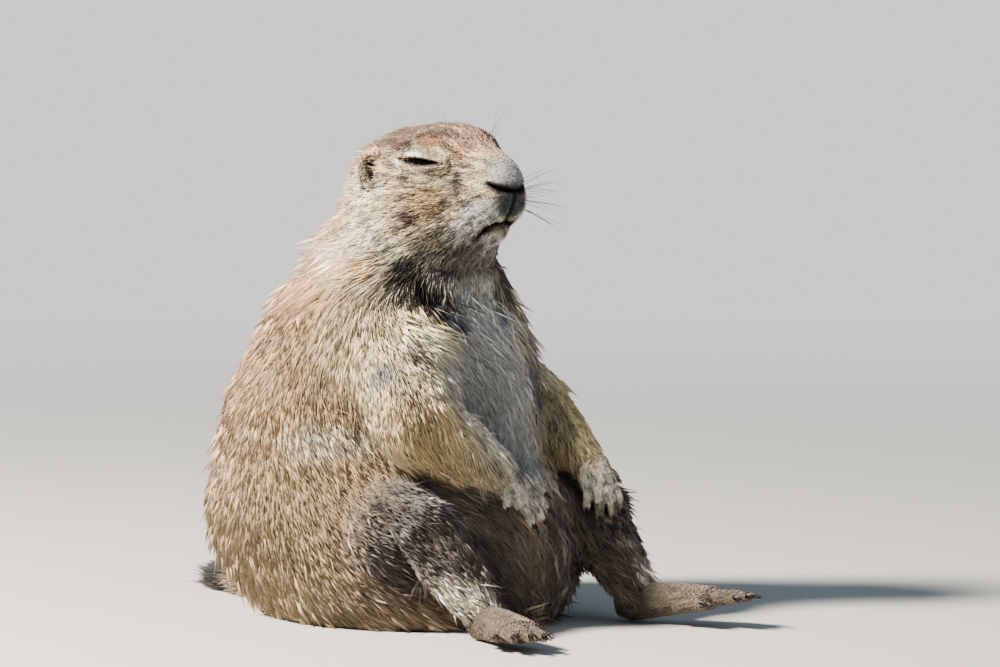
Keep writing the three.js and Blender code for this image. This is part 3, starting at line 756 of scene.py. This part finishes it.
# Painted shade, near black, in the sunk lines of the muzzle, at the edge of each eye's slit and in the
# hollows of the ears.
shade_in_hollows = np.max([ease(0.2, -0.3, line_gap), ease(0.45, 0.15, slit_gap), hollow], axis=0)
for colour, share in (
    # The nose: light grey, partly its own grey and partly a painted highlight on its top; slate on its
    # lower part as painted shade.
    (NOSE_GREY_AND_HIGHLIGHT, nose),
    (SLATE, 0.85 * nose * ease(177, 172.5, height)),
    (WHITE, 0.95 * lid_pale),
    (BROWN, 0.85 * ease(0.9, 0.45, slit_gap)),
    # Painted shade: the paws darker in their hollows, between the digits.
    (SMOKE, 0.85 * ease(0.1, 0.5, hollowness) * paws),
    # Painted shade: a darker margin along the sunk lines of the muzzle.
    (DARK, 0.75 * ease(1.3, 0.2, line_gap)),
    (PIT, shade_in_hollows),
):
    colours = mix(colours, np.array(colour, float), share)

# The hair over the skin: short on the face and round the ears, full on the nape
near_eyes = near(points, EYE_CENTRES, 8, 15)
ruff = ease(16, 6, -points[:, 1] / MM) * ease(142, 152, height) * ease(192, 182, height)
near_face = (1 - 0.7 * near(points, EARS.values(), 6, 11)) * (1 - 0.72 * muzzle)
near_face = near_face * (1 - 0.75 * near_eyes) * (1 - 0.7 * nose)
short, long = (even(values[labels], EVEN["length"]) * near_face for values in (SHORT, LONG))
short[shell > 0], long[shell > 0] = SHORT[labels[shell > 0]], LONG[labels[shell > 0]]
chest = ease(1.2, 0.7, radii_from(folded, (0, 66, 102), (34, 34, 50))) * (labels == TORSO)
width = even(WIDTH[labels], EVEN["width"]) * (1 - 0.4 * muzzle) * (1 - 0.3 * near_eyes) * (1 - 0.2 * chest)
contrast = even(CONTRAST[labels], EVEN["contrast"]) * (1 - 0.5 * muzzle)
contrast = contrast * (1 - 0.45 * chest) * (1 - 0.6 * nose)
paw_gap, paw_way = ways_to_paws(points)
under_paws = ease(7, 2.5, paw_gap) * (1 - paws)
rise = depth * (1 - 0.35 * under_paws) * (1 + 0.9 * ruff)
short, long = (lengths * (1 - 0.4 * under_paws) for lengths in (short, long))
cover = ease(0.1, 0.5, line_gap) * ease(0.25, 0.6, slit_gap) * (1 - np.minimum(2.5 * hollow, 1))
cover = cover * (points[:, 2] > HAIR_FROM) * (1 - stubs)
cover *= 1 - ease(0.3, 0.6, np.sum(paw_way * normals, axis=1)) * ease(5, 2.5, paw_gap) * (1 - paws)
cover *= 1 + 0.9 * muzzle
under, top = UNDER[labels] * cover, TOP[labels] * cover

# Materials


def shader(name, roughness, specular=0.3):
    material = bpy.data.materials.new(name)
    material.use_nodes = True
    principled = material.node_tree.nodes["Principled BSDF"]
    principled.inputs["Roughness"].default_value = roughness
    principled.inputs["Specular IOR Level"].default_value = specular
    return material, material.node_tree, principled


def feed(tree, node, inputs):
    """Sets a node's inputs to values, or links them to other nodes' outputs."""
    for name, value in inputs.items():
        if isinstance(value, bpy.types.NodeSocket):
            tree.links.new(value, node.inputs[name])
        else:
            node.inputs[name].default_value = value


def add_node(tree, kind, inputs={}, **settings):
    node = tree.nodes.new(kind)
    for name, value in settings.items():
        setattr(node, name, value)
    feed(tree, node, inputs)
    return node


def coat_material():
    material, tree, principled = shader("coat", 0.62, 0.22)
    colour = add_node(tree, "ShaderNodeAttribute", attribute_name="hair_colour")
    feed(tree, principled, {"Base Color": colour.outputs["Color"],
                            "Sheen Weight": 0.1, "Sheen Roughness": 0.5})
    return material


def skin_material():
    material, tree, principled = shader("skin", 0.75, 0.2)
    colour = add_node(tree, "ShaderNodeAttribute", attribute_name="hair_colour")
    place = add_node(tree, "ShaderNodeTexCoord")
    grain = add_node(tree, "ShaderNodeTexNoise",
                     {"Vector": place.outputs["Object"], "Scale": 900.0, "Detail": 3.0}).outputs["Fac"]
    shade = add_node(tree, "ShaderNodeMapRange", {"Value": grain, "To Min": 0.55, "To Max": 1.15})
    tinted = add_node(tree, "ShaderNodeVectorMath",
                      {0: colour.outputs["Color"], "Scale": shade.outputs["Result"]}, operation="SCALE")
    bump = add_node(tree, "ShaderNodeBump", {"Height": grain, "Strength": 0.5, "Distance": 0.4 * MM})
    feed(tree, principled, {"Base Color": tinted.outputs["Vector"], "Normal": bump.outputs["Normal"]})
    return material


def simple_material(name, colour, roughness, specular=0.5):
    material, tree, principled = shader(name, roughness, specular)
    principled.inputs["Base Color"].default_value = (*linear(colour), 1)
    return material


COAT, SKIN = coat_material(), skin_material()
WET = simple_material("eye", (5, 4, 4), 0.3, 0.05)
HORN = simple_material("claw", (52, 42, 36), 0.5, 0.3)
WHISKER = simple_material("whisker", (48, 42, 38), 0.5)


def colour_points(mesh, colours):
    layer = mesh.color_attributes.new("hair_colour", "FLOAT_COLOR", "POINT")
    rows = np.ones((len(colours), 4), np.float32)
    rows[:, :3] = linear(np.clip(colours, 0, 255))
    layer.data.foreach_set("color", rows.ravel())


def skin_map(mesh):
    """Unwraps the skin, and gives the place of each triangle's corners on the map."""
    piece = placed("unwrapped", mesh)
    bpy.context.view_layer.objects.active = piece
    piece.select_set(True)
    bpy.ops.object.mode_set(mode="EDIT")
    bpy.ops.mesh.select_all(action="SELECT")
    bpy.ops.uv.smart_project(angle_limit=math.radians(70), island_margin=0.002)
    bpy.ops.object.mode_set(mode="OBJECT")
    layer = mesh.uv_layers.active
    layer.name = "OFBake"
    spots = np.empty(len(mesh.loops) * 2, np.float32)
    layer.data.foreach_get("uv", spots)
    bpy.data.objects.remove(piece)
    return spots.reshape(-1, 3, 2)


skin_mesh = mesh_of("skin", points, triangles)
corner_spots = skin_map(skin_mesh)
# The skin is darker where the hair over it is longer: partly the dark of the hair's roots, partly painted
# shade under the coat.
colour_points(skin_mesh, mix(colours, DARK_HAIR_AND_SHADE, 0.6 * ease(1, 7, short)))
skin_mesh.shade_smooth()
skin_mesh.materials.append(SKIN)
skin = placed("skin", skin_mesh)
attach(skin, "root")
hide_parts(*FLESH, "tail_tip")

# Tufts

AREA = np.linalg.norm(np.cross(points[triangles[:, 1]] - points[triangles[:, 0]],
                               points[triangles[:, 2]] - points[triangles[:, 0]]), axis=1) / 2 / MM ** 2


def scatter(chance, most):
    """Triangles and places in them for one tuft each, as thick as the chance for each square millimetre."""
    share = AREA * chance[triangles].mean(axis=1)
    total = min(share.sum(), most)
    sums = np.cumsum(share) / share.sum()
    picks = (np.arange(int(total)) + RNG.random(int(total))) / int(total)
    chosen = np.minimum(np.searchsorted(sums, picks), len(triangles) - 1)
    a, b = RNG.random((2, len(chosen)))
    a, b = np.where(a + b > 1, 1 - a, a), np.where(a + b > 1, 1 - b, b)
    return chosen, np.column_stack([1 - a - b, a, b])


PATCH = 0.0015
# A tuft's points: its root, the left and right of its middle, and its tip
SPOTS_IN_PATCH = np.array([[0, -1], [-1, 0], [1, 0], [0, 1]]) * PATCH
TUFT_FACES = np.array([[0, 2, 1], [1, 2, 3], [0, 1, 3], [0, 3, 2]])
FLOOR_CLEARANCE = np.array([0.3, 0.4, 0.4, 0.15]) * MM


def tuft_mesh(name, tufts):
    """Closed blades of four faces, bent in the middle and pointed at both ends, one for each root."""
    rows = tufts["places"]
    rows[..., 2] = np.maximum(rows[..., 2], FLOOR_CLEARANCE)
    count, corners = rows.shape[:2]
    faces = (TUFT_FACES[None] + corners * np.arange(count)[:, None, None]).reshape(-1, 3)
    mesh = bpy.data.meshes.new(name)
    mesh.vertices.add(count * corners)
    mesh.vertices.foreach_set("co", rows.astype(np.float32).ravel())
    mesh.loops.add(len(faces) * 3)
    mesh.loops.foreach_set("vertex_index", faces.astype(np.int32).ravel())
    mesh.polygons.add(len(faces))
    mesh.polygons.foreach_set("loop_start", np.arange(0, len(faces) * 3, 3, dtype=np.int32))
    mesh.update(calc_edges=True)
    colour_points(mesh, tufts["shades"].reshape(-1, 3))
    layer = mesh.uv_layers.new(name="OFBake")
    spots = tufts["spots"][:, None, :] + SPOTS_IN_PATCH[None]
    layer.data.foreach_set("uv", spots.reshape(-1, 2)[faces.ravel()].astype(np.float32).ravel())
    mesh.materials.append(COAT)
    piece = placed(name, mesh)
    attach(piece, "root")
    return piece


def clumped(roots, size):
    """For each root, the place and number of the clump that it leans to."""
    centres = roots[RNG.permutation(len(roots))[: max(1, len(roots) // size)]]
    numbers, _ = closest(centres, roots)
    return centres[numbers], numbers, len(centres)


def streaks(points, ways, size, length, seed):
    """Noise drawn out along the lie of the hair, from blots of one size, with a spread of 1."""
    steps = np.arange(0, length, size * 0.8) * MM
    total = np.mean([cloud(points + ways * step, size * MM, seed) for step in steps], axis=0)
    return total / total.std()


# The under, top and guard hair: most tufts, lift and half width against the skin's own, fan, tufts in a
# clump, how far their tips are drawn together, share astray, brightness, shares of dark and of pale tips
LAYERS = {
    "most": [225_000, 132_000, 12_000],
    "lift": [(0.6, 1.0), (0.95, 1.3), (1.2, 1.8)],
    "half": [1.15, 0.85, 0.45],
    "fan": [0.09, 0.09, 0.35],
    "clump": [5, 3, 2],
    "draw": [0.3, 0.35, 0.1],
    "stray": [0.02, 0.1, 0.6],
    "bright": [0.86, 1.02, 1.2],
    "dark": [0.08, 0.06, 0.1],
    "pale": [0.1, 0.3, 0.8],
}
# Spread of the tufts' lengths, of their widths, of the height of their tips, lying and astray
LENGTHS, WIDTHS, LYING, ASTRAY = (0.7, 1.2), (0.75, 1.25), (0.6, 0.95), (1.1, 1.55)
# Strength, width and length in millimetres and seed of the streaks
STREAKS = [(0.8, 1.7, 24, 21), (0.65, 0.8, 14, 22)]


def coat_layer(number, chance, lengths):
    """The places and colours of one layer's tufts."""
    layer = {key: values[number] for key, values in LAYERS.items()}
    chosen, weights = scatter(chance, layer["most"])

    def here(values):
        return np.einsum("nk,nk...->n...", weights, values[triangles[chosen]])

    roots, up, way = here(points), here(normals), here(ways)
    count = len(roots)
    up = unit(up)
    kinds = labels[triangles[chosen, 0]]
    free = kinds == TAIL_TIP
    way[free] = unit(lie_of("tail_tip", roots[free]) + 0.2 * up[free])
    up[free] = laid(np.array([0.05, 0.05, 1.0]) + 0 * up[free], way[free])
    flow = laid(way, up)
    way = unit(flow + np.cross(flow, up) * RNG.normal(0, layer["fan"], count)[:, None])
    across = np.cross(way, up)
    centres, clump, clump_count = clumped(roots, layer["clump"])
    tint, swell = RNG.normal(0, 1, (2, clump_count))[:, clump]
    reach = here(lengths) * RNG.uniform(*LENGTHS, count) * MM
    lift = here(rise) * RNG.uniform(*layer["lift"], count) * (1 + 0.07 * swell)
    lift = np.maximum(lift, 0.3) * MM
    half = here(width) * layer["half"] * RNG.uniform(*WIDTHS, count) * MM
    side = np.sum((roots - centres) * across, axis=1) / MM
    roll = np.clip(side * 0.35, -0.55, 0.55) + RNG.normal(0, 0.18, count)
    lean = np.sum((centres - roots) * across, axis=1) * layer["draw"] + RNG.normal(0, 0.05, count) * reach
    stray = RNG.random(count) < layer["stray"] * (1 + 3 * here(ruff)) * (1 - here(under_paws))
    droop = np.where(stray, RNG.uniform(*ASTRAY, count), RNG.uniform(*LYING, count))
    middle = roots + way * (reach * 0.5)[:, None] + up * (lift * 0.85)[:, None]
    middle += across * (lean * 0.3)[:, None]
    tips = roots + way * reach[:, None] + up * (lift * droop)[:, None] + across * lean[:, None]
    turned = across * np.cos(roll)[:, None] - up * np.sin(roll)[:, None]

    local = here(colours)
    ends = roots + flow * reach[:, None]
    drawn = flow * np.clip(reach / (10 * MM), 0.25, 1)[:, None]
    streak = sum(share * streaks(ends, drawn, *kind) for share, *kind in STREAKS)
    strength = here(contrast) * streak
    bright = layer["bright"] * (1 + 0.5 * strength + 0.03 * tint + RNG.normal(0, 0.05, count))
    body = local * np.clip(bright, 0.3, 1.5)[:, None]
    body = mix(body, DARK_HAIR_AND_SHADE, np.clip(-strength * 0.9 - 0.12, 0, 0.75))
    pale_end = mix(np.minimum(local * 1.3, 240), PALE_TIP, 0.5)
    body = mix(body, pale_end, np.clip(strength * 0.8 - 0.12, 0, 0.55))
    draw = RNG.random(count)
    calm = 1 - np.clip(here(calmness), 0, 0.9)
    dark = (draw < layer["dark"] * calm) * RNG.uniform(0.3, 0.8, count)
    pale = (draw > 1 - layer["pale"] * calm) * RNG.uniform(0.15, 0.6, count) * (kinds != TAIL_TIP)
    end = mix(mix(body * 1.08, DARK_TIP, dark), pale_end, pale)
    # Each tuft is darker at its root, more so when it is long: partly the hair's dark roots, partly painted
    # shade deep in the coat.
    base = mix(body, DARK_HAIR_AND_SHADE, 0.1 + 0.22 * ease(1, 7, reach / MM))
    edge = turned * half[:, None]
    return {
        "places": np.stack([roots, middle - edge, middle + edge, tips], axis=1),
        "shades": np.stack([base, mix(body, end, 0.3), mix(body, end, 0.3), end], axis=1),
        "spots": np.einsum("nk,nkd->nd", weights, corner_spots[chosen]),
        "kinds": kinds,
    }


# Long pale hairs stand out of the crease of the neck and the chest: places, radii, hairs to the square
# millimetre. They are rooted where the under hair is longer than the shortest, and outgrow the top hair.
GUARD_SPOTS = [
    ((22, 34, 136), (10, 10, 12), 0.4),
    ((33, 38, 122), (12, 10, 12), 0.35),
    ((8, 42, 128), (14, 10, 14), 0.12),
]
GUARD = {"everywhere": 0.03, "shortest": 2.5, "outgrow": 1.35, "extra": 0.5}
# Where the tufts differ less in colour
calmness = 0.9 * nose + 0.6 * (lid_pale + chest + paws)
grown = short > GUARD["shortest"]
guard = GUARD["everywhere"] * cover * grown * (1 - under_paws)
reach = long * GUARD["outgrow"]
for place, radii, extra in GUARD_SPOTS:
    share = ease(1.1, 0.5, radii_from(mirrored(points), place, radii))
    guard += extra * share * grown
    reach = np.maximum(reach, long * (GUARD["outgrow"] + GUARD["extra"] * share))
layers = [coat_layer(0, under, short), coat_layer(1, top, long), coat_layer(2, guard, reach)]
coat = {key: np.concatenate([layer[key] for layer in layers]) for key in layers[0]}

REGIONS = {
    "head": ("head", "ear"), "neck": ("neck",), "trunk": ("torso",),
    "arms": ("upper_arm", "forearm", "hand"), "legs": ("thigh", "shin", "foot"),
    "tail": ("tail", "tail_tip"),
}
MOST_IN_PIECE = 48_000
for region, kinds in REGIONS.items():
    inside = np.flatnonzero(are(kinds, coat["kinds"]))
    order = inside[np.argsort(coat["places"][inside, 0, 0], kind="stable")]
    pieces = math.ceil(len(inside) / MOST_IN_PIECE)
    for number, rows in enumerate(np.array_split(order, pieces), 1):
        tuft_mesh(f"coat_{region}_{number}", {key: values[rows] for key, values in coat.items()})

# Whiskers, in rows on each side of the muzzle, and a few over the eyes
surface = surface_of(points, triangles)
WHISKER_RADIUS, WHISKER_TIP = 0.085, 0.012


def whisker(root, way, length, droop):
    """A thin hair from the skin that bends down and back towards its tip."""
    start = np.array(surface.find_nearest(Vector(root))[0]) - way * 0.5 * MM
    bent = np.array([0, 0.35, -1.0]) * droop
    stations = []
    for share in np.linspace(0, 1, 8):
        place = start + (way * share + bent * share ** 2) * length * MM
        stations.append((place, WHISKER_RADIUS * (1 - share) ** 0.7 + WHISKER_TIP))
    return tube(stations, 4)


WHISKER_ROWS, WHISKER_COLUMNS, BROW_HAIRS = 4, 5, 3
hairs = []
for sign in SIDES.values():
    for row in range(WHISKER_ROWS):
        for column in range(WHISKER_COLUMNS):
            forward, up = 60 - 2.6 * column - 0.4 * row, 171.5 - 2.4 * row + 0.5 * column
            root = at(sign * (8.5 + 1.1 * column), forward, up)
            fan = np.array([sign * (0.8 + 0.08 * column), -0.55 + 0.16 * column, 0.35 - 0.24 * row])
            way = unit(fan + RNG.normal(0, 0.09, 3))
            length = (15 + 3.2 * column) * RNG.uniform(0.8, 1.15)
            hairs.append(whisker(root, way, length, RNG.uniform(0.02, 0.16)))
    for number in range(BROW_HAIRS):
        root = at(sign * (15.5 - 0.8 * number), 33 + 3 * number, 191)
        way = unit(np.array([sign * 0.45, -0.1 + 0.25 * (number % 2), 1.0]) + RNG.normal(0, 0.12, 3))
        hairs.append(whisker(root, way, RNG.uniform(11, 17), 0.05))
whisker_mesh = mesh_of("whiskers", *joined(hairs))
whisker_mesh.materials.append(WHISKER)
whisker_mesh.shade_smooth()
whiskers = placed("whiskers", whisker_mesh)
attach(whiskers, "root")

# Eyes and claws

for side, (centre, radius) in EYES.items():
    ball = bmesh.new()
    along, outward, over = eye_axes(SIDES[side])
    shape = Matrix(np.column_stack([along * EYE_STRETCH, outward, over]) * radius)
    bmesh.ops.create_uvsphere(ball, u_segments=48, v_segments=32, radius=1,
                              matrix=Matrix.Translation(Vector(centre)) @ shape.to_4x4())
    bmesh.ops.recalc_face_normals(ball, faces=ball.faces)
    mesh = bpy.data.meshes.new(f"{side}_eyeball")
    ball.to_mesh(mesh)
    ball.free()
    mesh.shade_smooth()
    mesh.materials.append(WET)
    piece = placed(f"{side}_eyeball", mesh)
    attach(piece, "root")
    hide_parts(f"{side}_eye")

for name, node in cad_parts.items():
    if name.endswith("claw"):
        node.data.materials.clear()
        node.data.materials.append(HORN)
        smoother = node.modifiers.new("smooth", "SUBSURF")
        smoother.levels = smoother.render_levels = 2

# Floor, light and camera


def soft_light(name, side, away, size, power, colour):
    """A round lamp that looks at the animal's middle from one side, so many metres away."""
    data = bpy.data.lights.new(name, "AREA")
    data.shape = "DISK"
    data.size = size
    data.energy = power
    data.color = colour
    lamp = placed(name, data)
    lamp.location = MIDDLE + side * away
    lamp.rotation_mode = "QUATERNION"
    lamp.rotation_quaternion = (MIDDLE - lamp.location).to_track_quat("-Z", "Y")


AZIMUTH, ELEVATION, DISTANCE = math.radians(-47), math.radians(4.5), 3.0
SENSOR, SCALE, PICTURE_WIDTH = 36, 0.40 * MM, 1000
MIDDLE = Vector((0, 0, 0.1))
UP = Vector((0, 0, 1))
RIGHT = Vector((math.cos(AZIMUTH), math.sin(AZIMUTH), 0))
LEVEL = math.cos(ELEVATION)
BACK = Vector((math.sin(AZIMUTH) * LEVEL, -math.cos(AZIMUTH) * LEVEL, math.sin(ELEVATION)))
AIM = RIGHT * 0.040 + BACK.cross(RIGHT) * 0.1122

camera = placed("camera", bpy.data.cameras.new("camera"))
camera.data.sensor_fit = "HORIZONTAL"
camera.data.sensor_width = SENSOR
camera.data.lens = SENSOR * DISTANCE / (SCALE * PICTURE_WIDTH)
camera.location = AIM + BACK * DISTANCE
camera.rotation_mode = "QUATERNION"
camera.rotation_quaternion = BACK.to_track_quat("Z", "Y")
bpy.context.scene.camera = camera

sun_side, shade_side = UP * 0.9 - RIGHT * 0.95 + BACK * 0.5, UP * 0.4 + RIGHT * 0.9 + BACK * 0.6
soft_light("key", sun_side, away=1.2, size=0.34, power=96, colour=(1.0, 0.94, 0.87))
soft_light("fill", shade_side, away=1.4, size=1.4, power=2.5, colour=(0.8, 0.9, 1.0))
BACKDROP, AMBIENT = (0.84, 0.83, 0.81, 1), (0.64, 0.8, 1.0, 1)


def blended(tree, share, shaders, output):
    """Shows the first shader, and the second as far as the share says."""
    both = add_node(tree, "ShaderNodeMixShader", {0: share, 1: shaders[0], 2: shaders[1]})
    tree.links.new(both.outputs["Shader"], tree.nodes[output].inputs["Surface"])


def studio_world():
    """Cool light from all round, with a plain pale backdrop behind the floor."""
    world = bpy.data.worlds.new("studio")
    world.use_nodes = True
    tree = world.node_tree
    ambient = tree.nodes["Background"]
    feed(tree, ambient, {"Color": AMBIENT, "Strength": 0.3})
    backdrop = add_node(tree, "ShaderNodeBackground", {"Color": BACKDROP})
    path = add_node(tree, "ShaderNodeLightPath")
    shaders = [node.outputs["Background"] for node in (ambient, backdrop)]
    blended(tree, path.outputs["Is Camera Ray"], shaders, "World Output")
    return world


def floor_material():
    """Pale and matt, fading into the backdrop away from the animal."""
    material, tree, principled = shader("floor", 0.9, 0.1)
    principled.inputs["Base Color"].default_value = (*linear((206, 202, 194)), 1)
    place = add_node(tree, "ShaderNodeTexCoord").outputs["Object"]
    distance = add_node(tree, "ShaderNodeVectorMath", {0: place}, operation="LENGTH").outputs["Value"]
    fade = add_node(tree, "ShaderNodeMapRange", {"Value": distance, "From Min": 0.3, "From Max": 1.6},
                    interpolation_type="SMOOTHSTEP")
    clear = add_node(tree, "ShaderNodeBsdfTransparent")
    shaders = [node.outputs["BSDF"] for node in (principled, clear)]
    blended(tree, fade.outputs["Result"], shaders, "Material Output")
    return material


bpy.context.scene.world = studio_world()
bpy.context.scene.view_settings.look = "AgX - Medium High Contrast"
FLOOR_REACH = 3
floor_corners = np.array([[-1, -1, 0], [1, -1, 0], [1, 1, 0], [-1, 1, 0.0]]) * FLOOR_REACH
floor_mesh = mesh_of("floor", floor_corners, np.array([[0, 1, 2], [0, 2, 3]]))
floor_mesh.materials.append(floor_material())
placed("floor", floor_mesh)
